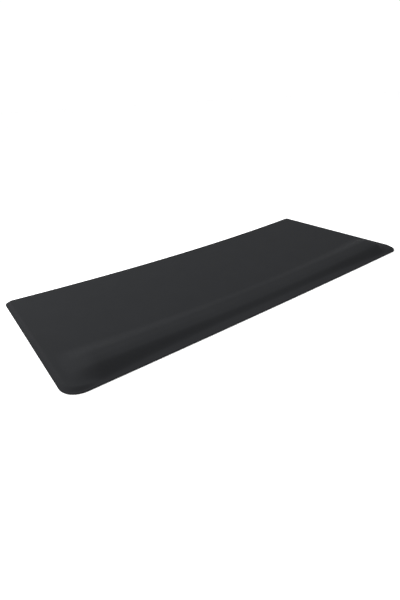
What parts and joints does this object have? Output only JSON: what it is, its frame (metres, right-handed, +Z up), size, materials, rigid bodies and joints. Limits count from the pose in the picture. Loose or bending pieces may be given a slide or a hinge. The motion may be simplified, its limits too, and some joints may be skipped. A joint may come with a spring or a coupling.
{
  "type": "anti-fatigue mat",
  "caption": "Rectangular cushioned standing mat with a bevelled rim, a shallow concave back edge and a raised foot ridge along the front that is low in the middle and high near its ends.",
  "frame": {"origin": "centre of the outline's box, on the floor", "axes": "+X along the length, +Y from the ridge side towards the concave back edge, +Z up"},
  "size_m": [1.158, 0.511, 0.0307],
  "materials": {
    "cover_skin": "matte fine-grained charcoal polyurethane skin",
    "soft_foam": "fine open-cell foam, dark grey",
    "firm_foam": "dense closed-cell foam, near black",
    "bond_film": "milky hot-melt film",
    "base_rubber": "matte black rubber with a studded underside"
  },
  "bodies": {
    "root": {"top_cover": "cover_skin", "ridge_bar": "firm_foam", "ridge_film": "bond_film", "comfort_layer": "soft_foam", "core_film": "bond_film", "support_core": "firm_foam", "base_film": "bond_film", "base_sheet": "base_rubber"}
  },
  "joints": []
}
